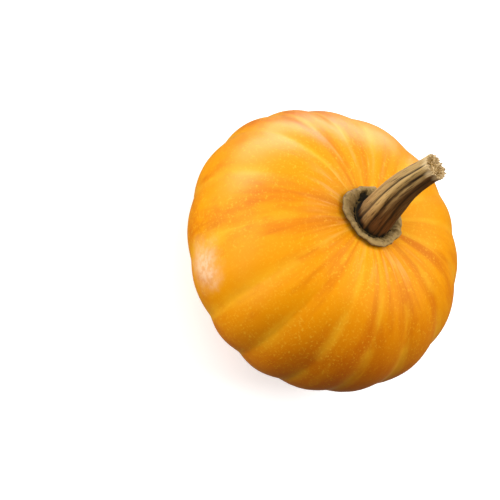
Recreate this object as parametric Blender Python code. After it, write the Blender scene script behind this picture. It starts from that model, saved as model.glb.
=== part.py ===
"""A small ribbed pumpkin: the fruit and its dry stem, standing upright on its blossom end.

Units are metres and +Z runs up the fruit's axis. The origin is on the axis, in the plane of the
foot that the fruit stands on. Azimuth 0 is the -Y side and azimuth 90 degrees is the +X side.
"""

import math

import bmesh
import bpy

# ---- the fruit -------------------------------------------------------------------------------
FRUIT_DIAMETER = 0.1300        # across the smooth body, before the ribs swell it
SHOULDER_RISE = 0.0468         # from the equator to the top of the smooth body
BELLY_DROP = 0.0455            # from the equator to the bottom of the smooth body
ROUNDNESS = 2.08               # 2 is an ellipse, more is squarer shoulders
CROWN_DIMPLE_DEPTH = 0.0100    # the hollow that the stem grows out of
CROWN_DIMPLE_RADIUS = 0.0273
FOOT_RADIUS = 0.0195           # the flat spot that the fruit rests on
BLOSSOM_DIMPLE_RADIUS = 0.0085  # the small hollow where the flower was
BLOSSOM_DIMPLE_DEPTH = 0.0022
GROOVE_DEPTH = 0.0012          # how far the grooves between two ribs sink
RIB_FULLNESS = 2.0             # more makes a rib's back broader
RIB_SOFTNESS = 1.35            # more makes the grooves rounder
RIB_FADE_START = 0.018         # distances from the axis between which the ribs rise
RIB_FADE_END = 0.066

# Each rib from its groove at FIRST_GROOVE on: its width in degrees, and how far its back stands
# out from the smooth body, as a share of the fruit's radius. No two ribs grew alike.
FIRST_GROOVE = -162.0
RIBS = (
    (30, 0.008), (20, -0.007), (15, 0.003), (17, 0.017),
    (25, 0.012), (26, -0.004), (26, 0.000), (20, 0.013),
    (20, 0.013), (20, 0.003), (20, 0.001), (24, 0.008),
    (27, 0.002), (23, -0.006), (20, 0.003), (27, 0.012),
)

# ---- the stem and its corky collar, which are one piece --------------------------------------
SEAT_GAP = 0.0003              # between the collar's underside and the fruit's crown
COLLAR_DIAMETER = 0.0282
COLLAR_THICKNESS = 0.0026      # at the thick lip near the collar's edge
# The lip's section: shares of the collar's radius and of its thickness, from the edge inwards.
COLLAR_LIP = ((1.0, 0.3), (0.98, 0.72), (0.9, 1.0), (0.8, 0.86))
# The collar's lobes: each one's azimuth and half-width in degrees, and how far it bulges.
COLLAR_LOBES = (
    (-50, 32, 0.0032), (62, 18, 0.0007), (122, 20, 0.0007),
    (175, 24, 0.0006), (-145, 22, 0.0004),
)
CREVICE_HEIGHT = 0.0011        # of the collar's floor in the dark crevice around the stem
CREVICE_SPREAD = 1.06          # the crevice's radius over the stem's at its foot
STEM_FOOT_HEIGHT = 0.0021      # of the stem's lowest cross-section above the fruit's crown
STEM_BASE_WIDTH = 0.0160
STEM_TIP_WIDTH = 0.0108
STEM_TAPER_END = 1.1           # share of the length where the taper would level out
STEM_FLARE = 0.0008            # how much the stem's radius widens at its foot
STEM_FLARE_SHARE = 0.08        # the share of the length over which the flare dies out
STEM_LENGTH = 0.0455
STEM_OFFSET = (0.0010, 0.0)    # from the fruit's axis to the stem's middle where it starts
STEM_LEAN_AT_BASE = (-10.0, 3.0)  # degrees that the stem leans to +X and to +Y where it starts
STEM_LEAN_AT_TIP = (3.0, 18.0)   # and where it was cut
STEM_BEND_START = 0.35         # shares of the stem's length between which it bends
STEM_BEND_END = 0.90
STEM_TWIST = 10.0              # degrees that the ridges turn from base to tip
# Each ridge from its valley at STEM_FIRST_VALLEY on: its width in degrees and its height.
STEM_FIRST_VALLEY = -100.0
STEM_RIDGES = (
    (78, 0.0008), (34, 0.0015), (40, 0.0005), (44, 0.0009),
    (34, 0.0005), (42, 0.0012), (40, 0.0006), (48, 0.0011),
)
STEM_VALLEY_DEPTH = 0.0004     # how far the valleys between two ridges sink
RIDGE_FULLNESS = 1.7
RIDGE_SOFTNESS = 1.15
TIP_HOLLOW = 0.0016            # how deep the torn end sinks between its rim and its middle

# ---- how finely the solids are divided -------------------------------------------------------
COLUMNS_PER_RIB = 5
FLANK_ROWS = 19
CROWN_ROWS = 10
CROWN_RADIUS = 0.030           # where the flank's rows end and the crown's closer rows start
BLOSSOM_ROWS = (0.35, 0.7)     # shares of the blossom dimple's radius
UNDERSIDE_ROWS = (0.35, 0.7, 0.95)  # shares of the collar's radius
TIP_ROWS = (0.72, 0.4)         # shares of the stem's radius over its torn end
SHARP_ANGLE = 50.0             # degrees between two faces from which their edge looks sharp
COLUMNS_PER_RIDGE = 6
STEM_ROWS = 11

FRUIT_RADIUS = FRUIT_DIAMETER / 2
# Half of the ridges' mean height: the stem's widths are taken between ridge and valley.
RIDGE_MEAN = sum(height for _, height in STEM_RIDGES) / len(STEM_RIDGES) / 2


def smoothstep(low, high, value):
    """0 below low, 1 above high, and an S-curve between."""
    share = min(max((value - low) / (high - low), 0.0), 1.0)
    return share * share * (3 - 2 * share)


def body_radius(latitude):
    """Distance from the axis of the smooth body at a latitude in radians."""
    return FRUIT_RADIUS * abs(math.cos(latitude)) ** (2 / ROUNDNESS)


def body_height(radius, rise):
    """Height above the equator of the smooth body, rise high, at a distance from the axis."""
    share = min(radius / FRUIT_RADIUS, 1.0)
    return rise * (1 - share ** ROUNDNESS) ** (1 / ROUNDNESS)


EQUATOR_HEIGHT = body_height(FOOT_RADIUS, BELLY_DROP)


def lobe_height(azimuth, first, lobes, valley_depth, fullness, softness):
    """Height at an azimuth of a ring of lobes, each given by its width and its back's height."""
    start = first
    place = start + (azimuth - start) % 360
    for index, (width, back) in enumerate(lobes):
        if place <= start + width or index == len(lobes) - 1:
            break
        start += width
    left_valley = (lobes[index - 1][1] + back) / 2 - valley_depth
    right_valley = (back + lobes[(index + 1) % len(lobes)][1]) / 2 - valley_depth
    across = min((place - start) / width, 1.0)
    chord = left_valley + (right_valley - left_valley) * across
    arch = (1 - abs(2 * across - 1) ** fullness) ** softness
    return chord + (back - (left_valley + right_valley) / 2) * arch


def lobe_columns(first, lobes, count):
    """Azimuths of a mesh's columns: count to each lobe, the first of them in its valley."""
    azimuths = []
    start = first
    for width, _ in lobes:
        azimuths += [start + width * i / count for i in range(count)]
        start += width
    return azimuths


def rib_swell(azimuth):
    """How far the ribs lift the skin off the smooth body at an azimuth in degrees."""
    valley = GROOVE_DEPTH / FRUIT_RADIUS
    return FRUIT_RADIUS * lobe_height(
        azimuth, FIRST_GROOVE, RIBS, valley, RIB_FULLNESS, RIB_SOFTNESS
    )


def rib_share(radius):
    """How much of the ribs' height is left at a distance from the axis."""
    return smoothstep(RIB_FADE_START, RIB_FADE_END, radius)


def crown_height(radius, azimuth):
    """Height above the foot of the skin near the stem."""
    dimple = CROWN_DIMPLE_DEPTH * math.exp(-(radius / CROWN_DIMPLE_RADIUS) ** 2)
    smooth = EQUATOR_HEIGHT + body_height(radius, SHOULDER_RISE) - dimple
    return smooth + rib_share(radius) * rib_swell(azimuth)


def polar(radius, azimuth, height):
    """A point from its distance to the axis, its azimuth in degrees and its height."""
    turn = math.radians(azimuth)
    return (radius * math.sin(turn), -radius * math.cos(turn), height)


def flank_point(latitude, azimuth):
    """A point of the skin between the foot and the crown, pushed out along the body's normal."""
    rise = SHOULDER_RISE if latitude > 0 else BELLY_DROP
    radius = body_radius(latitude)
    height = EQUATOR_HEIGHT + math.copysign(body_height(radius, rise), latitude)
    if latitude > 0:
        height -= CROWN_DIMPLE_DEPTH * math.exp(-(radius / CROWN_DIMPLE_RADIUS) ** 2)
    swell = rib_share(radius) * rib_swell(azimuth)
    outward, upward = math.cos(latitude) / FRUIT_RADIUS, math.sin(latitude) / rise
    length = math.hypot(outward, upward)
    lifted = height + swell * upward / length
    return polar(radius + swell * outward / length, azimuth, max(lifted, 0.0))


def latitude_at(radius):
    """Latitude in radians at which the smooth body is this far from its axis."""
    return math.acos((radius / FRUIT_RADIUS) ** (ROUNDNESS / 2))


def skin_rings(rings, bottom, top):
    """A closed mesh through rings of equal length, from the bottom point to the top point."""
    bm = bmesh.new()
    rows = [[bm.verts.new(point) for point in ring] for ring in rings]
    first, last = bm.verts.new(bottom), bm.verts.new(top)
    count = len(rows[0])
    for j in range(count):
        after = (j + 1) % count
        bm.faces.new((first, rows[0][after], rows[0][j]))
        bm.faces.new((last, rows[-1][j], rows[-1][after]))
        for low, high in zip(rows, rows[1:]):
            bm.faces.new((low[j], low[after], high[after], high[j]))
    bmesh.ops.triangulate(bm, faces=bm.faces[:])
    return bm


def add_object(name, bm, material):
    """An object from a bmesh, smooth where its faces meet gently."""
    mesh = bpy.data.meshes.new(name)
    bm.to_mesh(mesh)
    bm.free()
    mesh.materials.append(material)
    mesh.shade_smooth()
    mesh.set_sharp_from_angle(angle=math.radians(SHARP_ANGLE))
    obj = bpy.data.objects.new(name, mesh)
    bpy.context.scene.collection.objects.link(obj)
    return obj


def plain_material(name, colour, roughness):
    """A material of one colour."""
    material = bpy.data.materials.new(name)
    material.use_nodes = True
    shader = material.node_tree.nodes["Principled BSDF"]
    shader.inputs["Base Color"].default_value = (*colour, 1.0)
    shader.inputs["Roughness"].default_value = roughness
    shader.inputs["Metallic"].default_value = 0.0
    return material


def build_fruit(material):
    """The whole fruit: blossom dimple, flat foot, ribbed flank, crown."""
    azimuths = lobe_columns(FIRST_GROOVE, RIBS, COLUMNS_PER_RIB)
    rings = []
    for share in BLOSSOM_ROWS:
        radius = BLOSSOM_DIMPLE_RADIUS * share
        height = BLOSSOM_DIMPLE_DEPTH * (1 - share ** 2)
        rings.append([polar(radius, azimuth, height) for azimuth in azimuths])
    for radius in (BLOSSOM_DIMPLE_RADIUS, FOOT_RADIUS):
        rings.append([polar(radius, azimuth, 0.0) for azimuth in azimuths])
    low, high = -latitude_at(FOOT_RADIUS), latitude_at(CROWN_RADIUS)
    for row in range(1, FLANK_ROWS):
        latitude = low + (high - low) * row / FLANK_ROWS
        rings.append([flank_point(latitude, azimuth) for azimuth in azimuths])
    for row in range(CROWN_ROWS):
        radius = CROWN_RADIUS * (1 - row / CROWN_ROWS)
        rings.append([polar(radius, a, crown_height(radius, a)) for a in azimuths])
    blossom = (0.0, 0.0, BLOSSOM_DIMPLE_DEPTH)
    crown = (0.0, 0.0, crown_height(0.0, 0.0))
    return add_object("fruit", skin_rings(rings, blossom, crown), material)


def collar_radius(azimuth):
    """The collar's uneven, lobed edge."""
    radius = COLLAR_DIAMETER / 2
    for centre, half_width, bulge in COLLAR_LOBES:
        away = (azimuth - centre + 180) % 360 - 180
        radius += bulge * math.exp(-(away / half_width) ** 2)
    return radius


def stem_radius(share, azimuth):
    """The ridged stem's radius, share of the way from its base to its cut end."""
    base, tip = STEM_BASE_WIDTH / 2, STEM_TIP_WIDTH / 2
    flare = STEM_FLARE * math.exp(-share / STEM_FLARE_SHARE)
    ridge = lobe_height(
        azimuth + STEM_TWIST * share, STEM_FIRST_VALLEY, STEM_RIDGES,
        STEM_VALLEY_DEPTH, RIDGE_FULLNESS, RIDGE_SOFTNESS,
    )
    taper = (tip - base) * smoothstep(0.0, STEM_TAPER_END, share)
    return base + taper + flare + ridge - RIDGE_MEAN


def stem_frames():
    """Centre and leans of each cross-section of the stem. The foot lies level on the collar."""
    frames = []
    x, y = STEM_OFFSET
    height = 0.0
    step = STEM_LENGTH / (STEM_ROWS - 1)
    for row in range(STEM_ROWS):
        bend = smoothstep(STEM_BEND_START, STEM_BEND_END, row / (STEM_ROWS - 1))
        lean_x, lean_y = (
            math.radians(start + (end - start) * bend)
            for start, end in zip(STEM_LEAN_AT_BASE, STEM_LEAN_AT_TIP)
        )
        frames.append(((x, y, height), lean_x, lean_y) if row else ((x, y, height), 0.0, 0.0))
        x += step * math.sin(lean_x)
        y += step * math.sin(lean_y)
        height += step * math.cos(lean_x) * math.cos(lean_y)
    return frames


def stem_point(frame, radius, azimuth, lift=0.0):
    """A point of a leaning cross-section, in the stem's own frame."""
    (x, y, height), lean_x, lean_y = frame
    right, back, _ = polar(radius, azimuth, 0.0)
    drop = right * math.sin(lean_x) + back * math.sin(lean_y)
    return (x + right * math.cos(lean_x), y + back * math.cos(lean_y), height - drop + lift)


def build_stem(material):
    """The stem with the collar that it grows from, seated on the crown with a thin gap.

    The rings run out along the underside, over the lip, down into the crevice and up the stem.
    """
    azimuths = lobe_columns(STEM_FIRST_VALLEY, STEM_RIDGES, COLUMNS_PER_RIDGE)
    seat = crown_height(0.0, 0.0) + SEAT_GAP

    def above_seat(radius, azimuth, lift):
        return polar(radius, azimuth, crown_height(radius, azimuth) + SEAT_GAP - seat + lift)

    rings = []
    for share in UNDERSIDE_ROWS:
        rings.append([above_seat(share * collar_radius(a), a, 0.0) for a in azimuths])
    for share, thickness in COLLAR_LIP:
        lift = COLLAR_THICKNESS * thickness
        rings.append([above_seat(share * collar_radius(a), a, lift) for a in azimuths])
    frames = stem_frames()
    crevice = []
    for azimuth in azimuths:
        x, y, _ = stem_point(frames[0], CREVICE_SPREAD * stem_radius(0.0, azimuth), azimuth)
        away = math.hypot(x, y)
        floor = crown_height(away, azimuth) + SEAT_GAP - seat + CREVICE_HEIGHT
        crevice.append((x, y, floor))
    rings.append(crevice)
    for row, frame in enumerate(frames):
        share = row / (STEM_ROWS - 1)
        lift = STEM_FOOT_HEIGHT * (1 - share)
        turned = [azimuth - STEM_TWIST * share for azimuth in azimuths]
        rings.append([stem_point(frame, stem_radius(share, a), a, lift) for a in turned])
    end = frames[-1]
    for share in TIP_ROWS:
        sunk = -TIP_HOLLOW * (1 - share)
        rings.append([stem_point(end, share * stem_radius(1, a), a, sunk) for a in turned])
    middle = stem_point(end, 0.0, 0.0, -TIP_HOLLOW)
    obj = add_object("stem", skin_rings(rings, (0.0, 0.0, 0.0), middle), material)
    obj.location = (0.0, 0.0, seat)
    return obj


def main():
    for obj in list(bpy.data.objects):
        bpy.data.objects.remove(obj, do_unlink=True)
    skin = plain_material("orange_skin", (0.83, 0.28, 0.004), 0.35)
    cork = plain_material("dry_stem", (0.36, 0.22, 0.09), 0.85)
    build_fruit(skin)
    build_stem(cork)


main()
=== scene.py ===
# %% [markdown]
# # A small ribbed pumpkin
#
# A picked pumpkin has two pieces to look at: the fruit with its waxy orange rind, and the dry stem
# with the corky collar at its foot. Both grew, so nothing on them is straight or repeated exactly,
# but both follow rules. The rind is a squat ball with sixteen ribs, and the stem is a ridged rod
# that leans and bends. The rules make the big shapes, and noise makes the skin, the cork and the
# torn fibres.
#
# The fitted model is loaded first. It fixes the size and the place of everything: +Z is up the
# fruit's axis, the foot stands at height 0, and azimuth 0 is the -Y side.

# %% Load the fitted model
import math

import bpy
import numpy as np
from mathutils import Matrix, Vector


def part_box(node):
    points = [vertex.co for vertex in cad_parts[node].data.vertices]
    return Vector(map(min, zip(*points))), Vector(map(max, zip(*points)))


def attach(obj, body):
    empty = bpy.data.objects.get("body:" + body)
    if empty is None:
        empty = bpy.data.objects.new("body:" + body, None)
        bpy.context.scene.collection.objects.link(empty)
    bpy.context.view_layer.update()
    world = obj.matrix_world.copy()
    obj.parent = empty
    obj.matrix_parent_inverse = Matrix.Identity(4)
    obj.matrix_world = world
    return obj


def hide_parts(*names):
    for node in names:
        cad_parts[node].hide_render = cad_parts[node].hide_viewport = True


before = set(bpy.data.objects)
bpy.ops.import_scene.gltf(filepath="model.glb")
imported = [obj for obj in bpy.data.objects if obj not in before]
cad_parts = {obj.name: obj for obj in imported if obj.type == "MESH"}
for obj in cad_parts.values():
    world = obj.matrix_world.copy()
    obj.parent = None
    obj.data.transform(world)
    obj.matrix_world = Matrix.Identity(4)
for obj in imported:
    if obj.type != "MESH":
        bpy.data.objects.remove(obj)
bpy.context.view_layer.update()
fruit_low, fruit_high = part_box("fruit")
stem_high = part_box("stem")[1]

# %% [markdown]
# ## Node maths written as Python
#
# Two kinds of node tree are built below: geometry trees that shape a mesh, and shader trees that
# colour it. Both have the same Math node, so one small class serves both. A `Wire` holds a socket,
# and adding or multiplying wires adds Math nodes. Any other node comes from `Board.node`, which
# takes the node's type, its settings and what feeds its sockets.

# %% A wire and a board
class Wire:
    """A number, vector or colour on its way through a node tree."""

    def __init__(self, board, socket):
        self.board, self.socket = board, socket

    def __add__(self, other):
        return self.board.math("ADD", self, other)

    def __sub__(self, other):
        return self.board.math("SUBTRACT", self, other)

    def __rsub__(self, other):
        return self.board.math("SUBTRACT", other, self)

    def __mul__(self, other):
        return self.board.math("MULTIPLY", self, other)

    def __truediv__(self, other):
        return self.board.math("DIVIDE", self, other)

    def __rtruediv__(self, other):
        return self.board.math("DIVIDE", other, self)

    def __pow__(self, other):
        return self.board.math("POWER", self, other)

    __radd__ = __add__
    __rmul__ = __mul__


class Board:
    """A node tree being filled in."""

    def __init__(self, tree):
        self.tree = tree

    def node(self, kind, settings=None, sockets=None, out=0):
        """Adds a node. Settings are set before its sockets are fed. Returns one output."""
        made = self.tree.nodes.new(kind)
        for name, value in (settings or {}).items():
            setattr(made, name, value)
        for key, value in (sockets or {}).items():
            if isinstance(value, Wire):
                self.tree.links.new(value.socket, made.inputs[key])
            else:
                made.inputs[key].default_value = value
        return Wire(self, made.outputs[out])

    def math(self, operation, *values):
        return self.node("ShaderNodeMath", {"operation": operation}, dict(enumerate(values)))

    def smooth(self, value, low, high):
        """0 up to low, 1 from high, and an S-curve between; low may be the larger one."""
        sockets = {"Value": value, "From Min": low, "From Max": high}
        return self.node("ShaderNodeMapRange", {"interpolation_type": "SMOOTHSTEP"}, sockets)

    def mix(self, share, first, second):
        """A colour between two colours."""
        settings = {"data_type": "RGBA"}
        return self.node("ShaderNodeMix", settings, {0: share, 6: first, 7: second}, out=2)

    def vector(self, x, y, z):
        return self.node("ShaderNodeCombineXYZ", sockets={0: x, 1: y, 2: z})

    def noise(self, vector, scale, detail=2.0, roughness=0.5, distortion=0.0):
        sockets = {
            "Vector": vector, "Scale": scale, "Detail": detail,
            "Roughness": roughness, "Distortion": distortion,
        }
        return self.node("ShaderNodeTexNoise", {}, sockets)


# %% [markdown]
# ## The camera
#
# The camera looks down at the crown from 49.5 degrees up, so it stands 40.5 degrees off the fruit's
# axis. It is rolled so that the stem points up and to the right. A long lens from twelve fruit radii
# away keeps the ball from bulging. The camera is turned a little to the left of the fruit, which
# puts the fruit to the right of the middle.

# %% Place the camera
EQUATOR_HEIGHT = 0.0437
VIEW_ELEVATION = 49.5
AXIS_DIRECTION = 33.4          # how far the fruit's axis points up from the right, in the view
CAMERA_DISTANCE = 0.780
LENS_MM = 126.2
FRUIT_OFF_CENTRE = (0.0329, 0.0003)  # of the fruit's middle from the view's, at the fruit


def view_axes():
    """World directions of right, up and towards the viewer, as the camera is rolled."""
    lift = math.radians(VIEW_ELEVATION)
    back = Vector((0, -math.cos(lift), math.sin(lift)))
    axis_up = Vector((0, math.sin(lift), math.cos(lift)))
    roll = math.radians(AXIS_DIRECTION)
    right = math.sin(roll) * Vector((1, 0, 0)) + math.cos(roll) * axis_up
    up = -math.cos(roll) * Vector((1, 0, 0)) + math.sin(roll) * axis_up
    return right, up, back


RIGHT, UP, BACK = view_axes()
FRUIT_MIDDLE = Vector((0, 0, EQUATOR_HEIGHT))


def place_camera():
    data = bpy.data.cameras.new("camera")
    data.lens = LENS_MM
    camera = bpy.data.objects.new("camera", data)
    bpy.context.scene.collection.objects.link(camera)
    stand = FRUIT_MIDDLE + CAMERA_DISTANCE * BACK
    aim = FRUIT_MIDDLE - FRUIT_OFF_CENTRE[0] * RIGHT - FRUIT_OFF_CENTRE[1] * UP
    back = (stand - aim).normalized()
    right = (RIGHT - back * RIGHT.dot(back)).normalized()
    turn = Matrix((right, back.cross(right), back)).transposed()
    camera.matrix_world = Matrix.Translation(stand) @ turn.to_4x4()
    bpy.context.scene.camera = camera
    return camera


camera = place_camera()
print("camera stands at", [round(v, 3) for v in camera.matrix_world.translation])

# %% [markdown]
# ## The ribs
#
# A pumpkin's ribs are the swellings between the veins that run from the stem to the blossom end.
# No two are as wide or stand out as far. Each rib is written as its width and the height of its
# back, and one function turns the list into a height for any azimuth. The stem's ridges are the
# same kind of shape, so the function serves both.

# %% Lobes round an axis
def lobed(azimuth, first, lobes, groove, fullness, softness=1.0):
    """Height of a ring of lobes at each azimuth in degrees, and 0 in a groove to 1 on a back."""
    widths = np.array([width for width, _ in lobes], float)
    backs = np.array([back for _, back in lobes], float)
    edges = np.concatenate(([0.0], np.cumsum(widths)))
    place = (np.asarray(azimuth, float) - first) % 360
    index = np.clip(np.searchsorted(edges, place, side="right") - 1, 0, len(lobes) - 1)
    across = np.clip((place - edges[index]) / widths[index], 0, 1)
    left = (backs[index - 1] + backs[index]) / 2 - groove
    right = (backs[index] + backs[(index + 1) % len(lobes)]) / 2 - groove
    chord = left + (right - left) * across
    arch = (1 - np.abs(2 * across - 1) ** fullness) ** softness
    return chord + (backs[index] - (left + right) / 2) * arch, 1 - np.abs(2 * across - 1)


FRUIT_DIAMETER = 0.1300
FIRST_GROOVE = -162.0
RIBS = (
    (30, 0.008), (20, -0.007), (15, 0.003), (17, 0.017),
    (25, 0.012), (26, -0.004), (26, 0.000), (20, 0.013),
    (20, 0.013), (20, 0.003), (20, 0.001), (24, 0.008),
    (27, 0.002), (23, -0.006), (20, 0.003), (27, 0.012),
)
RIB_GROOVE_DEPTH = 0.0012
RIB_FULLNESS, RIB_SOFTNESS = 2.0, 1.35
rib_backs = [(width, back * FRUIT_DIAMETER / 2) for width, back in RIBS]


def rib_shape(azimuth):
    return lobed(
        azimuth, FIRST_GROOVE, rib_backs, RIB_GROOVE_DEPTH, RIB_FULLNESS, RIB_SOFTNESS
    )


print(len(RIBS), "ribs, from", min(RIBS)[0], "to", max(RIBS)[0], "degrees wide")

# %% [markdown]
# ## The net that the rind is grown on
#
# The rind starts as a net: a closed mesh whose points only know their latitude, the sine and
# cosine of their azimuth, the height of the rib there and how near they are to a groove. Columns
# of the net follow the grooves, so each groove is crisp. A geometry tree then gives every point
# its place. Keeping the numbers as attributes also lets the rind's material find the grooves.

# %% Weave the net
COLUMNS_PER_RIB = 26
NET_ROWS = 210


def closed_net(name, rows, columns):
    """A closed mesh with the faces of a globe: a point, rows rings of columns points, a point."""
    first, last = 0, rows * columns + 1
    here = np.arange(columns)
    after = (here + 1) % columns
    rings = 1 + columns * np.arange(rows)[:, None]
    low, high = rings[:-1], rings[1:]
    quads = np.stack([low + here, low + after, high + after, high + here], -1)
    faces = quads.reshape(-1, 4).tolist()
    faces += [(first, 1 + b, 1 + a) for a, b in zip(here.tolist(), after.tolist())]
    top = rings[-1, 0]
    faces += [(last, int(top + a), int(top + b)) for a, b in zip(here, after)]
    mesh = bpy.data.meshes.new(name)
    mesh.from_pydata(np.zeros((last + 1, 3)), [], faces)
    return mesh


def give(mesh, name, values, kind="FLOAT"):
    """Stores one value for each point of a mesh: the first point, the rings, the last point."""
    flat = np.asarray(values, np.float32).ravel()
    key = "vector" if kind == "FLOAT_VECTOR" else "value"
    mesh.attributes.new(name, kind, "POINT").data.foreach_set(key, flat)


def capped(start, rings, end):
    """Values for a closed net: one at each pole and an array for the rings."""
    return np.concatenate(([start], np.ravel(rings), [end]))


def rib_azimuths():
    azimuths, start = [], FIRST_GROOVE
    for width, _ in RIBS:
        azimuths += [start + width * i / COLUMNS_PER_RIB for i in range(COLUMNS_PER_RIB)]
        start += width
    return np.array(azimuths)


def weave_rind_net():
    azimuth = rib_azimuths()
    latitude = np.linspace(-90, 90, NET_ROWS + 2)[1:-1]
    height, back = rib_shape(azimuth)
    mesh = closed_net("rind", NET_ROWS, len(azimuth))
    ones = np.ones((NET_ROWS, 1))
    turn = np.radians(azimuth)
    give(mesh, "latitude", capped(-math.pi / 2, np.radians(latitude)[:, None] + 0 * turn, math.pi / 2))
    give(mesh, "sine", capped(0, ones * np.sin(turn), 0))
    give(mesh, "cosine", capped(1, ones * np.cos(turn), 1))
    give(mesh, "rib", capped(0, ones * height, 0))
    give(mesh, "back", capped(1, ones * back, 1))
    return mesh


def show(name, mesh):
    obj = bpy.data.objects.new(name, mesh)
    bpy.context.scene.collection.objects.link(obj)
    return obj


rind_net = show("rind", weave_rind_net())
print("rind net:", len(rind_net.data.vertices), "points")

# %% [markdown]
# ## Growing the rind with a geometry tree
#
# The fruit is a squat ball: its shoulders are a little squarer than an ellipse's, its crown sinks
# where the stem grows out, and its foot is flat around the small dimple of the blossom end. The
# ribs are pushed out along the ball's normal and fade towards both ends. Real rind is never quite
# smooth, so the tree then sinks it by three kinds of noise: wide soft dents, fine folds that run
# out from the collar, and a slight orange-peel grain. All of it sinks and never rises, which keeps
# the fruit inside its fitted size.

# %% Build the rind's tree
RIND_SIZES = {
    "Diameter": FRUIT_DIAMETER, "Shoulder rise": 0.0468, "Belly drop": 0.0455, "Roundness": 2.08,
    "Equator height": EQUATOR_HEIGHT, "Crown depth": 0.0100, "Crown radius": 0.0273,
    "Rib start": 0.018, "Rib full": 0.066, "Blossom radius": 0.0085, "Blossom depth": 0.0022,
    "Dent depth": 0.0006, "Fold depth": 0.00022, "Grain depth": 0.00010,
}


def new_geometry_tree(name, sizes):
    """An empty geometry tree with named inputs; returns its board and a wire for each input."""
    tree = bpy.data.node_groups.new(name, "GeometryNodeTree")
    tree.interface.new_socket("Geometry", in_out="INPUT", socket_type="NodeSocketGeometry")
    tree.interface.new_socket("Geometry", in_out="OUTPUT", socket_type="NodeSocketGeometry")
    for size, value in sizes.items():
        socket = tree.interface.new_socket(size, in_out="INPUT", socket_type="NodeSocketFloat")
        socket.default_value = value
    board = Board(tree)
    source = tree.nodes.new("NodeGroupInput")
    wires = {socket.name: Wire(board, socket) for socket in source.outputs if socket.name}
    return board, wires


def close_tree(board, geometry, material):
    """Ends a tree: real meshes in place of instances, then the material, then the output."""
    real = board.node("GeometryNodeRealizeInstances", sockets={0: geometry})
    done = board.node("GeometryNodeSetMaterial", {}, {"Geometry": real, "Material": material})
    sink = board.tree.nodes.new("NodeGroupOutput")
    board.tree.links.new(done.socket, sink.inputs[0])


def mark(board, name, kind="FLOAT"):
    """The attribute of that name on the points."""
    return board.node("GeometryNodeInputNamedAttribute", {"data_type": kind}, {"Name": name})


def rind_place(board, size):
    """Where a point of the net goes, and its distance from the axis and its height."""
    latitude, rib = mark(board, "latitude"), mark(board, "rib")
    sine, cosine = mark(board, "sine"), mark(board, "cosine")
    radius = size["Diameter"] * 0.5
    level = board.math("COSINE", latitude)
    share = board.math("MAXIMUM", level, 0.0) ** (2.0 / size["Roundness"])
    above = board.math("GREATER_THAN", latitude, 0.0)
    rise = size["Belly drop"] + above * (size["Shoulder rise"] - size["Belly drop"])
    swell_up = (1 - share ** size["Roundness"]) ** (1.0 / size["Roundness"])
    away = share * radius
    sunk = size["Crown depth"] * board.math("EXPONENT", (away / size["Crown radius"]) ** 2 * -1)
    height = size["Equator height"] + (above * 2 - 1) * swell_up * rise - above * sunk
    lift = board.smooth(away, size["Rib start"], size["Rib full"]) * rib
    outward = level / radius
    upward = board.math("SINE", latitude) / rise
    length = board.math("SQRT", outward * outward + upward * upward)
    away = away + lift * outward / length
    height = board.math("MAXIMUM", height + lift * upward / length, 0.0)
    hollow = 1 - board.smooth(away, size["Blossom radius"] * 0.15, size["Blossom radius"])
    height = height + hollow * size["Blossom depth"] * (1 - above)
    return board.vector(sine * away, cosine * away * -1, height), away, height


def build_rind_tree(material):
    board, size = new_geometry_tree("grow_rind", RIND_SIZES)
    place, away, height = rind_place(board, size)
    ball = board.node("GeometryNodeSetPosition", {}, {0: size["Geometry"], "Position": place})
    clear_of_foot = board.smooth(height, 0.0, 0.004)
    where = board.node("GeometryNodeInputPosition")
    dents = board.noise(where, 46.0, 1.5) * size["Dent depth"]
    along = board.vector(mark(board, "sine") * 11.0, mark(board, "cosine") * 11.0, away * 9.0)
    near_crown = board.smooth(away, 0.046, 0.014) * board.math("GREATER_THAN", height, 0.05)
    folds = board.noise(along, 1.0, 2.0) * size["Fold depth"] * near_crown
    grain = board.noise(where, 620.0, 1.0) * size["Grain depth"]
    depth = (dents + folds + grain) * clear_of_foot * -1
    normal = board.node("GeometryNodeInputNormal")
    offset = board.node("ShaderNodeVectorMath", {"operation": "SCALE"}, {0: normal, "Scale": depth})
    skin = board.node("GeometryNodeSetPosition", {}, {0: ball, "Offset": offset})
    close_tree(board, skin, material)
    return board.tree


def grow(obj, tree, sizes):
    """Runs a geometry tree on an object and keeps the result as a plain mesh."""
    modifier = obj.modifiers.new("grow", "NODES")
    modifier.node_group = tree
    for item in tree.interface.items_tree:
        if item.in_out == "INPUT" and item.name in sizes:
            modifier[item.identifier] = sizes[item.name]
    evaluated = obj.evaluated_get(bpy.context.evaluated_depsgraph_get())
    mesh = bpy.data.meshes.new_from_object(evaluated)
    obj.modifiers.remove(modifier)
    obj.data = mesh
    mesh.shade_smooth()
    return obj
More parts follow.
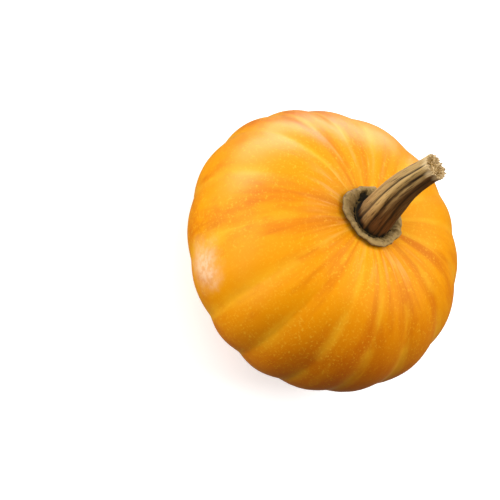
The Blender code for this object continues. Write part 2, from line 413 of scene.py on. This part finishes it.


# %% [markdown]
# ## The rind's finish
#
# Ripe rind is a golden orange with a thin wax on it, and one flank is painted deeper orange as
# shade. Paler stripes follow the grooves, partly the skin's own colour and partly painted sheen,
# peach-coloured streaks run out from the collar, and the whole skin is peppered with tiny light
# flecks. Everything is painted by rules: the stripes read the `back` attribute, which is 0 in a
# groove. The streaks are noise that is stretched along the meridians by reading it round the axis
# and up the height, and the flecks are the peaks of a very fine noise. One spot on the left has a
# painted highlight: a pale mottled patch where a lamp's glint would lie on the wax. The wax shines
# unevenly, and a faint sheen pales the skin where it turns away.

# %% Paint the rind
RIND_GOLD = (0.88, 0.335, 0.0, 1)
RIND_DEEP = (0.66, 0.150, 0.0, 1)
RIND_PALE_AND_SHEEN = (0.93, 0.47, 0.015, 1)
RIND_PEACH = (0.93, 0.49, 0.14, 1)
RIND_FLECK = (0.95, 0.56, 0.04, 1)
RIND_PAINTED_HIGHLIGHT = (0.97, 0.68, 0.42, 1)
SHEEN_TINT = (1.0, 0.82, 0.62, 1)
SHADED_SIDE = (0.84, -0.42, -0.36)   # the direction of the side painted deeper orange as shade
PAINTED_HIGHLIGHT_PLACE = (-0.0225, -0.0600, 0.0435)


def new_finish(name):
    """A material with an empty board and its Principled shader."""
    material = bpy.data.materials.new(name)
    material.use_nodes = True
    board = Board(material.node_tree)
    shader = material.node_tree.nodes["Principled BSDF"]
    return material, board, shader


def feed(board, shader, name, wire):
    """Joins a wire to a named socket of a shader."""
    board.tree.links.new(wire.socket, shader.inputs[name])


def painted(board, name, out=2):
    """An attribute of the mesh: 2 is its number, 1 its vector."""
    return board.node("ShaderNodeAttribute", {"attribute_name": name}, out=out)


def rind_finish():
    material, board, shader = new_finish("orange_rind")
    where = board.node("ShaderNodeTexCoord", out=3)
    parts = board.node("ShaderNodeSeparateXYZ", sockets={0: where}).socket.node.outputs
    x, y, z = (Wire(board, socket) for socket in parts)
    away = board.math("MAXIMUM", board.math("SQRT", x * x + y * y), 0.0005)
    back = painted(board, "back")

    # Wide clouds of deeper orange, and painted shade that deepens the flank away from the lamps.
    meridian = board.vector(x / away * 2.6, y / away * 2.6, z * 26.0)
    clouds = board.smooth(board.noise(meridian, 1.5, 4.0, 0.6), 0.44, 0.70)
    painted_shade = board.smooth(x * SHADED_SIDE[0] + y * SHADED_SIDE[1] + z * SHADED_SIDE[2], -0.010, 0.045)
    colour = board.mix(clouds * 0.75, RIND_GOLD, RIND_DEEP)
    colour = board.mix(painted_shade * 0.7, colour, RIND_DEEP)

    # Pale streaks along the meridians, which gather in the grooves and break up: partly the skin's own
    # colour, partly painted sheen.
    lines = board.vector(x / away * 9.0, y / away * 9.0, z * 18.0)
    streaks = board.smooth(board.noise(lines, 1.5, 3.0, 0.6, 0.3), 0.54, 0.72)
    groove = board.smooth(back, 0.42, 0.0)
    broken = board.smooth(board.noise(where, 60.0, 3.0), 0.34, 0.60)
    colour = board.mix(streaks * (groove * 0.5 + 0.15), colour, RIND_PALE_AND_SHEEN)
    colour = board.mix(groove * broken * 0.55, colour, RIND_PALE_AND_SHEEN)

    # Peach rays out from the collar, on some sides only.
    near_crown = board.smooth(away, 0.040, 0.016) * board.smooth(z, 0.060, 0.074)
    rays = board.vector(x / away * 6.5, y / away * 6.5, away * 26.0)
    peach = board.smooth(board.noise(rays, 1.5, 3.0, 0.6), 0.48, 0.64)
    some = board.smooth(board.noise(where, 22.0, 1.0), 0.42, 0.60)
    colour = board.mix(peach * near_crown * some * 0.7, colour, RIND_PEACH)

    # Tiny flecks, closer together in some places.
    crowd = board.smooth(board.noise(where, 40.0, 2.0), 0.36, 0.64) * 0.5 + 0.5
    flecks = board.smooth(board.noise(where, 1000.0, 2.0, 0.6), 0.54, 0.72) * crowd
    colour = board.mix(flecks * 0.6, colour, RIND_FLECK)

    # The painted highlight: a pale mottled patch where a lamp's glint would lie on the wax.
    distance = {"operation": "DISTANCE"}
    gap = board.node("ShaderNodeVectorMath", distance, {0: where, 1: PAINTED_HIGHLIGHT_PLACE}, out=1)
    mottles = board.smooth(board.noise(where, 420.0, 3.0, 0.6), 0.36, 0.60) * 0.5 + 0.5
    painted_highlight = board.smooth(gap + (board.noise(where, 90.0, 2.0) - 0.5) * 0.012, 0.0150, 0.0010)
    colour = board.mix(painted_highlight * mottles * 0.8, colour, RIND_PAINTED_HIGHLIGHT)
    feed(board, shader, "Base Color", colour)

    # The wax, and pores too small to be worth a point of the mesh each.
    waxy = board.noise(where, 60.0, 3.0)
    feed(board, shader, "Roughness", 0.35 + waxy * 0.15 + flecks * 0.08)
    pores = board.noise(where, 1500.0, 2.0) * 0.35 + flecks * 0.4 + board.noise(where, 420.0) * 0.6
    bump = board.node("ShaderNodeBump", {}, {"Height": pores, "Distance": 0.00009, "Strength": 0.5})
    feed(board, shader, "Normal", bump)
    shader.inputs["Specular IOR Level"].default_value = 0.28
    shader.inputs["Sheen Weight"].default_value = 0.15
    shader.inputs["Sheen Roughness"].default_value = 0.20
    shader.inputs["Sheen Tint"].default_value = SHEEN_TINT
    return material


orange_rind = rind_finish()
rind = grow(rind_net, build_rind_tree(orange_rind), RIND_SIZES)
rind_low = [round(min(v.co[i] for v in rind.data.vertices) * 1000, 2) for i in range(3)]
rind_high = [round(max(v.co[i] for v in rind.data.vertices) * 1000, 2) for i in range(3)]
print("rind spans", rind_low, rind_high, "mm; fitted", fruit_low[:], fruit_high[:])

# %% [markdown]
# ## The stem and its collar
#
# The stem is a ridged rod that flares into a corky collar, and the two grew as one piece. Its mesh
# is one net again: rings run out along the collar's underside, over its thick lip, down into the
# dark crevice round the stem, up the ridges and over the torn end. Plain formulas place the rings.
# Each point also keeps where it would lie if the stem were straight, so that the wood's grain can
# follow the bend.

# %% Sizes of the stem
SEAT_GAP = 0.0003
COLLAR_DIAMETER = 0.0282
COLLAR_LOBES = (
    (-50, 32, 0.0032), (62, 18, 0.0007), (122, 20, 0.0007),
    (175, 24, 0.0006), (-145, 22, 0.0004),
)
LIP_WIDTH = 0.0038
LIP_HEIGHT = 0.0028
CREVICE_RADIUS = 0.0091
CREVICE_HEIGHT = 0.0009
STEM_BASE_WIDTH = 0.0160
STEM_TIP_WIDTH = 0.0106
STEM_LENGTH = 0.0449
STEM_OFFSET = (0.0010, 0.0)       # of the foot from the fruit's axis
STEM_LEAN_AT_BASE = (-10.0, 3.0)  # degrees towards +X and +Y
STEM_LEAN_AT_TIP = (3.0, 18.0)
STEM_BEND = (0.35, 0.90)          # shares of the length between which it bends
STEM_TWIST = 10.0
STEM_FLARE = 0.10                 # share of its radius that the foot is wider
STEM_FLARE_SHARE = 0.08           # share of the length in which the flare dies out
STEM_FOOT_LIFT = 0.0019           # of the lowest cross-section above the crown
STEM_WANDER = 0.00022             # how far the ridges stray from their rule
TIP_SWELL = 0.0003
TIP_RAGGED = 0.0007               # how ragged the torn rim is
TIP_HOLLOW = 0.0019
# Ridges of the stem from its first valley on: the width of each in degrees and its height.
STEM_FIRST_VALLEY = -100.0
STEM_RIDGES = (
    (78, 0.0008), (34, 0.0015), (40, 0.0005), (44, 0.0009),
    (34, 0.0005), (42, 0.0012), (40, 0.0006), (48, 0.0011),
)
STEM_VALLEY_DEPTH = 0.0004
RIDGE_MEAN = 0.0003               # so that the widths are taken between ridge and valley
RIDGE_FULLNESS, RIDGE_SOFTNESS = 1.7, 1.15
STEM_COLUMNS = 320


def smoothstep(low, high, value):
    share = np.clip((value - low) / (high - low), 0, 1)
    return share * share * (3 - 2 * share)


def crown_height(away, azimuth):
    """Height of the fruit's crown, which the collar's underside follows."""
    share = away / (FRUIT_DIAMETER / 2)
    size = RIND_SIZES
    ball = size["Shoulder rise"] * (1 - share ** size["Roundness"]) ** (1 / size["Roundness"])
    sunk = size["Crown depth"] * np.exp(-(away / size["Crown radius"]) ** 2)
    rib, _ = rib_shape(azimuth)
    return EQUATOR_HEIGHT + ball - sunk + smoothstep(size["Rib start"], size["Rib full"], away) * rib


def collar_radius(azimuth):
    radius = np.full_like(azimuth, COLLAR_DIAMETER / 2)
    for centre, half_width, bulge in COLLAR_LOBES:
        away = (azimuth - centre + 180) % 360 - 180
        radius = radius + bulge * np.exp(-(away / half_width) ** 2)
    return radius


def ring_noise(azimuth, turns, seed, depth=3):
    """Smooth noise round a ring, from -1 to 1: waves whose counts and phases come from a seed."""
    draw = np.random.default_rng(seed)
    total = np.zeros_like(azimuth)
    for octave in range(depth):
        count = np.round(turns * 1.7 ** octave + draw.uniform(0, 2))
        total = total + np.cos(np.radians(azimuth * count) + draw.uniform(0, 6.3)) / 1.5 ** octave
    return total / sum(1 / 1.5 ** octave for octave in range(depth))


print("collar from", round(collar_radius(np.arange(360.0)).min() * 1000, 1), "mm radius")

# %% [markdown]
# The collar's lip is a roll of cork, thicker on some sides than on others. Inside it the cork
# slopes down to the crevice in radial wrinkles, and one side has a deep pocket where the cork tore
# away from the stem.

# %% Shape the collar
POCKET = (-101.0, 0.0104, 0.0016)   # azimuth, distance from the axis, and depth
POCKET_SPREAD = (11, 0.0012)        # half-widths in degrees and outwards
EDGE_WAVE, WIDTH_WAVE, HEIGHT_WAVE, HEIGHT_RIPPLE = 0.028, 0.15, 0.16, 0.07
WRINKLE_DEPTH = 0.00042
LIP_TOP = 1.96                      # the lip's highest point over half of its height
UNDERSIDE_ROWS, LIP_ROWS, SLOPE_ROWS, STEM_ROWS, END_ROWS = 6, 26, 30, 150, 34


def collar_rings(azimuth):
    """Rings of the collar from its underside to the crevice.

    Each is its distance from the axis, its height above the crown, and how much painted light its
    cork gets: lighter on the lip's top, with painted shade under the lip, towards the crevice and in
    the pocket.
    """
    edge = collar_radius(azimuth) * (1 + EDGE_WAVE * ring_noise(azimuth, 8, 5))
    wide = LIP_WIDTH / 2 * (1 + WIDTH_WAVE * ring_noise(azimuth, 5, 6))
    waves, ripples = ring_noise(azimuth, 6, 2), ring_noise(azimuth, 17, 3)
    tall = LIP_HEIGHT / 2 * (1 + HEIGHT_WAVE * waves + HEIGHT_RIPPLE * ripples)
    rings = []
    for share in np.linspace(0.1, 1, UNDERSIDE_ROWS, endpoint=False):
        rings.append((share * (edge - 0.7 * wide), 0 * edge, 0.0))
    for angle in np.radians(np.linspace(-75, 92, LIP_ROWS)):
        bulge = edge - wide + wide * math.cos(angle)
        lift = tall * (LIP_TOP - 1 + math.sin(angle))
        rings.append((bulge, lift, 0.5 + 0.5 * math.sin(angle)))
    wrinkles = ring_noise(azimuth, 22, 11, 4)
    for share in np.linspace(0, 1, SLOPE_ROWS + 1)[1:]:
        away = (edge - wide) * (1 - share) + CREVICE_RADIUS * share
        fall = smoothstep(0.05, 1.05, share) ** 1.5
        height = tall * LIP_TOP + (CREVICE_HEIGHT - tall * LIP_TOP) * fall
        height = height + WRINKLE_DEPTH * wrinkles * math.sin(math.pi * share) ** 0.7
        side = ((azimuth - POCKET[0] + 180) % 360 - 180) / POCKET_SPREAD[0]
        dip = np.exp(-side ** 2 - ((away - POCKET[1]) / POCKET_SPREAD[1]) ** 2)
        lit = smoothstep(-0.0022, 0.0026, away - CREVICE_RADIUS) - dip
        rings.append((away, np.maximum(height - POCKET[2] * dip, 0.0003), lit))
    return rings


# %% [markdown]
# The stem itself is placed on a bent centre line. Its cross-section is a circle with eight uneven
# ridges, which twist slightly from foot to tip and soften where the stem flares into the crevice.
# The end was torn off, so its rim is ragged and its middle is hollow.

# %% Shape the stem
PAINTED_LIGHT_SIDE = -65.0     # azimuth of the side painted lighter as if lit
COLLAR_REACH = 0.004   # height that the collar takes in the straightened coordinates


def stem_line():
    """Centre and leans of each cross-section, and its share of the stem's length."""
    step = STEM_LENGTH / (STEM_ROWS - 1)
    x, y, height = STEM_OFFSET[0], STEM_OFFSET[1], 0.0
    line = []
    for share in np.linspace(0, 1, STEM_ROWS):
        bend = float(smoothstep(*STEM_BEND, share))
        leans = [
            math.radians(start + (end - start) * bend)
            for start, end in zip(STEM_LEAN_AT_BASE, STEM_LEAN_AT_TIP)
        ]
        level = smoothstep(0.0, 0.12, share)
        line.append((share, x, y, height, level * leans[0], level * leans[1]))
        x += step * math.sin(leans[0])
        y += step * math.sin(leans[1])
        height += step * math.cos(leans[0]) * math.cos(leans[1])
    return line


def stem_radius(share, azimuth):
    """Radius of the ridged stem, and 0 in a valley to 1 on a ridge."""
    base, tip = STEM_BASE_WIDTH / 2, STEM_TIP_WIDTH / 2
    flare = STEM_FLARE * base * math.exp(-share / STEM_FLARE_SHARE)
    flare = flare + TIP_SWELL * smoothstep(0.86, 1.0, share)
    ridge, back = lobed(
        azimuth + STEM_TWIST * share, STEM_FIRST_VALLEY, STEM_RIDGES, STEM_VALLEY_DEPTH,
        RIDGE_FULLNESS, RIDGE_SOFTNESS,
    )
    wander = STEM_WANDER * ring_noise(azimuth + 40 * share, 5, 8)
    ridge_share = smoothstep(-0.10, 0.12, share)
    smooth = base + (tip - base) * smoothstep(0.0, 1.1, share) + flare - RIDGE_MEAN
    return smooth + ridge * ridge_share + wander, back


def ragged_rim(azimuth):
    """How far the torn end's rim stands above its cross-section."""
    return TIP_RAGGED * ring_noise(azimuth, 13, 21, 4) - 0.0003


def tilt(section, away, azimuth, lift):
    """Points of a leaning cross-section above the seat."""
    _, x, y, height, lean_x, lean_y = section
    right, back = away * np.sin(np.radians(azimuth)), -away * np.cos(np.radians(azimuth))
    drop = right * math.sin(lean_x) + back * math.sin(lean_y)
    tall = height - drop + lift * math.cos(lean_x) * math.cos(lean_y)
    return np.stack([
        x + right * math.cos(lean_x) + lift * math.sin(lean_x),
        y + back * math.cos(lean_y) + lift * math.sin(lean_y),
        tall,
    ], -1)


def build_stem_net():
    """The closed net of collar and stem with its attributes, and the height of its seat."""
    azimuth = 360 * np.arange(STEM_COLUMNS) / STEM_COLUMNS
    turn = np.radians(azimuth)
    seat = float(crown_height(np.array(0.0), np.array(0.0))) + SEAT_GAP
    places, straight, cork, light, valley = [], [], [], [], []

    def add_ring(points, away, tall, corky, lit, back=1.0):
        places.append(points)
        straight.append(np.stack([away * np.sin(turn), -away * np.cos(turn), tall + 0 * away], -1))
        cork.append(corky + 0 * away)
        light.append(lit + 0 * away)
        valley.append(back + 0 * away)

    for away, lift, lit in collar_rings(azimuth):
        height = crown_height(away, azimuth) + SEAT_GAP + lift
        points = np.stack([away * np.sin(turn), -away * np.cos(turn), height], -1)
        add_ring(points, away, lift, 1.0, lit)
    line = stem_line()
    for section in line:
        share = section[0]
        away, back = stem_radius(share, azimuth)
        lift = STEM_FOOT_LIFT * (1 - share)
        ragged = ragged_rim(azimuth) * smoothstep(0.97, 1, share)
        points = tilt(section, away, azimuth, lift + ragged) + np.array([0, 0, seat])
        # Painted light and shade for the stem: raised ridges lighter, partly weathered and partly as
        # light falls, one side lighter as if lit, and the foot darker as shade.
        raised = (away - away.min()) / (away.max() - away.min())
        painted_light_side = np.cos(np.radians(azimuth - PAINTED_LIGHT_SIDE))
        shade = 0.62 * raised + 0.15 * np.clip(back * 4, 0, 1) + 0.35 * painted_light_side
        shade = shade * smoothstep(0.0, 0.10, share)
        add_ring(points, away, COLLAR_REACH + share * STEM_LENGTH, 0.0, shade, back)
    rim, _ = stem_radius(1.0, azimuth)
    for share in np.linspace(0, 1, END_ROWS + 1)[1:-1]:
        away = rim * (1 - share)
        wall = smoothstep(0.10, 0.42, share)
        cells = TIP_RAGGED * ring_noise(azimuth + 60 * share, 7, 31, 3) * math.sin(math.pi * share)
        lift = ragged_rim(azimuth) * (1 - share) - TIP_HOLLOW * wall + cells
        points = tilt(line[-1], away, azimuth, lift) + np.array([0, 0, seat])
        tall = COLLAR_REACH + STEM_LENGTH + lift
        # Painted shade: the torn end's hollow is darker, and its raised cells lighter.
        add_ring(points, away, tall, -1.0, 1 - 0.8 * wall + cells * 500)
    start = np.array([0, 0, seat])
    end = tilt(line[-1], np.zeros(1), np.zeros(1), -TIP_HOLLOW)[0] + start
    mesh = closed_net("stem", len(places), STEM_COLUMNS)
    everything = np.concatenate(([start], np.concatenate(places), [end])).astype(np.float32)
    mesh.vertices.foreach_set("co", everything.ravel())
    middle = [[0.0, 0.0, 0.0]]
    give(mesh, "straight", np.concatenate((middle, np.concatenate(straight), middle)), "FLOAT_VECTOR")
    give(mesh, "cork", capped(1, cork, -1))
    # The `ridge` attribute carries painted light and shade as well as the ridges' height.
    give(mesh, "ridge", capped(0, light, 0))
    give(mesh, "valley", capped(1, valley, 1))
    return mesh, seat


stem_mesh, seat_height = build_stem_net()
stem_net = show("ridged_stem", stem_mesh)
print("stem net:", len(stem_mesh.vertices), "points, seat at", round(seat_height * 1000, 2), "mm")

# %% [markdown]
# ## Weathering the stem
#
# Dry stems are all grain: long fibres with cracks between them, and crumbly cork on the collar.
# A second geometry tree moves each point along its normal by noise. On the wood the noise is read
# in the straightened coordinates and squeezed along the length, so it turns into fibres that
# follow the bend. On the cork it is even in all directions.

# %% Build the weathering tree
WEATHER_SIZES = {"Fibre depth": 0.00042, "Cork depth": 0.00050, "Chip depth": 0.0007}


def build_weather_tree(material):
    board, size = new_geometry_tree("weather_stem", WEATHER_SIZES)
    where = board.node("GeometryNodeInputPosition")
    straight = mark(board, "straight", "FLOAT_VECTOR")
    cork = board.smooth(mark(board, "cork"), 0.3, 0.8)
    torn = board.smooth(mark(board, "cork"), -0.3, -0.8)
    drawn = {"operation": "MULTIPLY"}
    stretched = board.node("ShaderNodeVectorMath", drawn, {0: straight, 1: (1.0, 1.0, 0.06)})
    fibres = board.noise(stretched, 1500.0, 2.0, 0.6) * size["Fibre depth"]
    cracks = board.noise(stretched, 520.0, 2.0) * size["Fibre depth"]
    crumbs = board.noise(where, 900.0, 4.0, 0.65) * size["Cork depth"]
    lumps = board.noise(where, 330.0, 2.0) * size["Cork depth"]
    chips = board.noise(where, 1100.0, 3.0) * size["Chip depth"]
    wood = (1 - cork) * (1 - torn)
    depth = ((fibres + cracks) * wood + (crumbs + lumps) * cork + chips * torn) * -1
    normal = board.node("GeometryNodeInputNormal")
    offset = board.node("ShaderNodeVectorMath", {"operation": "SCALE"}, {0: normal, "Scale": depth})
    worn = board.node("GeometryNodeSetPosition", {}, {0: size["Geometry"], "Offset": offset})
    close_tree(board, worn, material)
    return board.tree


# %% [markdown]
# ## The stem's finish
#
# The wood is tan where a ridge stands up, partly from weathering and partly as painted light, and
# one side is painted lighter as if lit. It is brown in the valleys and painted nearly black in the
# crevice as shade, with a reddish tone near the foot. The cork of the collar is grey-tan on its
# lip, lighter on top as painted light, and goes greenish black towards the crevice as painted
# shade. The torn end is pale straw, painted darker in its hollow as shade. The `ridge` attribute
# says how high a point stands and also carries this painted light and shade, so most of the
# colour follows it, and stretched noise adds the fibres' own lighter and darker threads.

# %% Paint the stem
WOOD_TAN = (0.49, 0.325, 0.12, 1)
WOOD_BROWN = (0.125, 0.060, 0.019, 1)
WOOD_RED = (0.17, 0.062, 0.017, 1)
WOOD_BLACK = (0.014, 0.012, 0.008, 1)
CORK_TAN = (0.37, 0.25, 0.098, 1)
CORK_OLIVE = (0.145, 0.095, 0.033, 1)
STRAW = (0.80, 0.63, 0.35, 1)
OCHRE = (0.45, 0.28, 0.09, 1)


def stem_finish():
    material, board, shader = new_finish("dry_stem")
    where = board.node("ShaderNodeTexCoord", out=3)
    straight = painted(board, "straight", out=1)
    ridge = painted(board, "ridge")
    cork_mark = painted(board, "cork")
    cork = board.smooth(cork_mark, 0.3, 0.8)
    torn = board.smooth(cork_mark, -0.2, -0.8)
    parts = board.node("ShaderNodeSeparateXYZ", sockets={0: straight}).socket.node.outputs
    tall = Wire(board, parts[2])

    squeeze = {"operation": "MULTIPLY"}
    stretched = board.node("ShaderNodeVectorMath", squeeze, {0: straight, 1: (1.0, 1.0, 0.05)})
    threads = board.noise(stretched, 1400.0, 3.0, 0.65)
    bands = board.noise(stretched, 420.0, 2.0)
    # Painted light: raised ridges and one side of the stem lighter, as the `ridge` attribute says.
    sunlit = board.smooth(ridge + (bands - 0.5) * 0.9 + (threads - 0.5) * 0.5, 0.15, 0.85)
    wood = board.mix(sunlit, WOOD_BROWN, WOOD_TAN)
    low = board.smooth(tall, 0.022, 0.006)
    wood = board.mix(low * 0.6, wood, WOOD_RED)
    wood = board.mix(board.smooth(threads, 0.48, 0.34) * 0.65, wood, WOOD_BLACK)
    wood = board.mix(board.smooth(painted(board, "valley"), 0.30, 0.0) * 0.7, wood, WOOD_BLACK)
    bare = board.smooth(tall + (bands - 0.5) * 0.010, 0.0445, 0.0480)
    wood = board.mix(bare * 0.6, wood, STRAW)
    # Painted shade: the stem's foot, down in the crevice, goes nearly black.
    foot = tall + (bands - 0.5) * 0.006
    wood = board.mix(board.smooth(foot, 0.0066, 0.0040), wood, WOOD_BLACK)

    crumbs = board.noise(where, 520.0, 4.0, 0.65)
    # Painted light: the lip's top is lighter, its underside and slope darker.
    lip = board.smooth(ridge + (crumbs - 0.5) * 0.9, 0.40, 0.95)
    bark = board.mix(lip, CORK_OLIVE, CORK_TAN)
    bark = board.mix(board.smooth(crumbs, 0.50, 0.36) * 0.6, bark, CORK_OLIVE)
    # Painted shade: the cork goes nearly black towards the crevice and in the pocket.
    rays = board.node("ShaderNodeVectorMath", squeeze, {0: straight, 1: (1.0, 1.0, 0.2)})
    reach = (board.noise(rays, 640.0, 2.0) - 0.5) * 0.8
    bark = board.mix(board.smooth(ridge + reach, 0.50, 0.02), bark, WOOD_BLACK)

    # Painted shade: the hollow of the torn end goes darker ochre.
    end = board.mix(board.smooth(ridge + (threads - 0.5), 0.15, 0.75), OCHRE, STRAW)
    colour = board.mix(cork, wood, bark)
    colour = board.mix(torn, colour, end)
    feed(board, shader, "Base Color", colour)
    feed(board, shader, "Roughness", 0.62 + threads * 0.3)
    height = threads * 0.6 + crumbs * cork * 0.8 + board.noise(where, 2600.0) * 0.3
    bump = board.node("ShaderNodeBump", {}, {"Height": height, "Distance": 0.00025, "Strength": 0.7})
    feed(board, shader, "Normal", bump)
    shader.inputs["Specular IOR Level"].default_value = 0.25
    return material


dry_stem = stem_finish()
stem = grow(stem_net, build_weather_tree(dry_stem), WEATHER_SIZES)
stem_top = max(v.co.z for v in stem.data.vertices)
print("stem reaches", round(stem_top * 1000, 2), "mm; fitted", round(stem_high.z * 1000, 2), "mm")

# %% [markdown]
# ## The torn fibres of the cut end
#
# Where the stem was snapped off, the fibres stand up as short frayed straws. There are hundreds, all
# alike, so they are instances: a geometry tree scatters points over the torn end, puts a tapered
# straw on each, leans it by chance and varies its length. A fixed seed keeps the same fray every
# time. The scatter reads the torn part from the stem's `cork` attribute, which is below zero there.

# %% Build the fray
FRAY_SIZES = {
    "Density": 1700000.0, "Straw length": 0.00045, "Straw width": 0.00030, "Lean": 0.4,
}


def build_fray_tree(material):
    board, size = new_geometry_tree("fray_end", FRAY_SIZES)
    torn = board.math("LESS_THAN", mark(board, "cork"), -0.5)
    sockets = {0: size["Geometry"], "Selection": torn, "Density": size["Density"], "Seed": 4}
    scatter = board.node("GeometryNodeDistributePointsOnFaces", {}, sockets)
    cone = board.node(
        "GeometryNodeMeshCone", {},
        {"Vertices": 5, "Radius Top": size["Straw width"] * 0.3, "Radius Bottom": size["Straw width"],
         "Depth": size["Straw length"]},
    )
    wild = {"data_type": "FLOAT_VECTOR"}
    lean = size["Lean"]
    chance = board.node(
        "FunctionNodeRandomValue", wild,
        {0: board.vector(lean * -1, lean * -1, 0.0), 1: board.vector(lean, lean, 6.28), "Seed": 7},
    )
    stretch = board.node(
        "FunctionNodeRandomValue", wild, {0: (0.7, 0.7, 0.35), 1: (1.3, 1.3, 1.25), "Seed": 9},
    )
    placed = board.node(
        "GeometryNodeInstanceOnPoints", {},
        {"Points": scatter, "Instance": cone, "Rotation": chance, "Scale": stretch},
    )
    close_tree(board, placed, material)
    return board.tree


def straw_finish():
    material, board, shader = new_finish("straw_fibres")
    where = board.node("ShaderNodeTexCoord", out=3)
    tone = board.smooth(board.noise(where, 900.0, 2.0), 0.35, 0.65)
    feed(board, shader, "Base Color", board.mix(tone, OCHRE, STRAW))
    feed(board, shader, "Roughness", 0.6 + tone * 0.25)
    return material


fray = show("torn_fibres", stem.data.copy())
grow(fray, build_fray_tree(straw_finish()), FRAY_SIZES)
print("fray:", len(fray.data.polygons), "faces")

# %% [markdown]
# ## The floor and the light
#
# The pumpkin stands on a plain pale floor under soft studio light. Three wide lamps shape it: one
# from the left, one from the front and above, and one from the right. Their mirror images would
# lie as dull patches on the wax, so gloss doesn't see them. It gets a lamp of its own: a long low
# strip behind the fruit, which pales the far shoulder. The floor and the world look white, but what
# they send to the fruit is faint and warm, so the side turned away from the lamps stays deep orange.

# %% Lay the floor and hang the lights
FLOOR_SIZE = 40.0
FLOOR_COLOUR = (0.86, 0.86, 0.86, 1)
FLOOR_GLOW = 0.6
SEEN_COLOUR = (1.0, 1.0, 1.0, 1)
FILL_COLOUR = (1.0, 0.70, 0.45, 1)
FILL_BRIGHTNESS = 0.14


def lay_floor():
    """A pale floor that takes shadows but neither shades, lights nor mirrors in the fruit."""
    half = FLOOR_SIZE / 2
    mesh = bpy.data.meshes.new("floor")
    corners = [(-half, -half, 0), (half, -half, 0), (half, half, 0), (-half, half, 0)]
    mesh.from_pydata(corners, [], [(0, 1, 2, 3)])
    floor = show("floor", mesh)
    material, _, shader = new_finish("pale_floor")
    shader.inputs["Base Color"].default_value = FLOOR_COLOUR
    shader.inputs["Roughness"].default_value = 0.9
    shader.inputs["Specular IOR Level"].default_value = 0.1
    shader.inputs["Emission Color"].default_value = SEEN_COLOUR
    shader.inputs["Emission Strength"].default_value = FLOOR_GLOW
    mesh.materials.append(material)
    floor.visible_shadow = False
    floor.visible_diffuse = False
    floor.visible_glossy = False


def toward(right, up, back):
    """A world direction from one in the view's own directions."""
    return (right * RIGHT + up * UP + back * BACK).normalized()


def hang_lamp(name, direction, distance, size, watts):
    """A wide lamp in that direction from the fruit's middle, turned to face it."""
    data = bpy.data.lights.new(name, "AREA")
    data.energy = watts
    data.shape = "RECTANGLE"
    data.size, data.size_y = size
    lamp = bpy.data.objects.new(name, data)
    bpy.context.scene.collection.objects.link(lamp)
    lamp.location = FRUIT_MIDDLE + direction * distance
    lamp.rotation_mode = "QUATERNION"
    lamp.rotation_quaternion = direction.to_track_quat("Z", "Y")
    return lamp


def light_world():
    """White where the camera sees it, and a faint warm glow for the fruit."""
    world = bpy.data.worlds.new("studio")
    world.use_nodes = True
    board = Board(world.node_tree)
    seen = board.node("ShaderNodeLightPath")
    background = world.node_tree.nodes["Background"]
    feed(board, background, "Color", board.mix(seen, FILL_COLOUR, SEEN_COLOUR))
    feed(board, background, "Strength", seen * (1 - FILL_BRIGHTNESS) + FILL_BRIGHTNESS)
    bpy.context.scene.world = world


# Each lamp: its name, its direction in the view's own directions, its distance, its width and
# height, and its power in watts.
LAMPS = (
    ("key", (-0.90, 0.30, 0.45), 1.2, (1.4, 1.4), 16.0),
    ("front", (-0.10, 0.52, 0.80), 1.6, (1.8, 1.8), 17.0),
    ("side", (1.0, 0.30, 0.35), 1.3, (1.2, 1.2), 18.0),
    ("strip", (-0.05, 1.0, -0.28), 1.1, (2.2, 0.5), 28.0),
)

lay_floor()
light_world()
for name, aim, distance, size, watts in LAMPS:
    lamp = hang_lamp(name, toward(*aim), distance, size, watts)
    lamp.visible_diffuse = name != "strip"
    lamp.visible_glossy = name == "strip"

bpy.context.scene.view_settings.view_transform = "Standard"
print("lamps:", ", ".join(lamp.name for lamp in bpy.data.lights))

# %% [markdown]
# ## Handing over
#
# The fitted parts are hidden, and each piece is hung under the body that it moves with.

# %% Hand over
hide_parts("fruit")
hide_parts("stem")
for piece in (rind, stem, fray):
    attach(piece, "root")
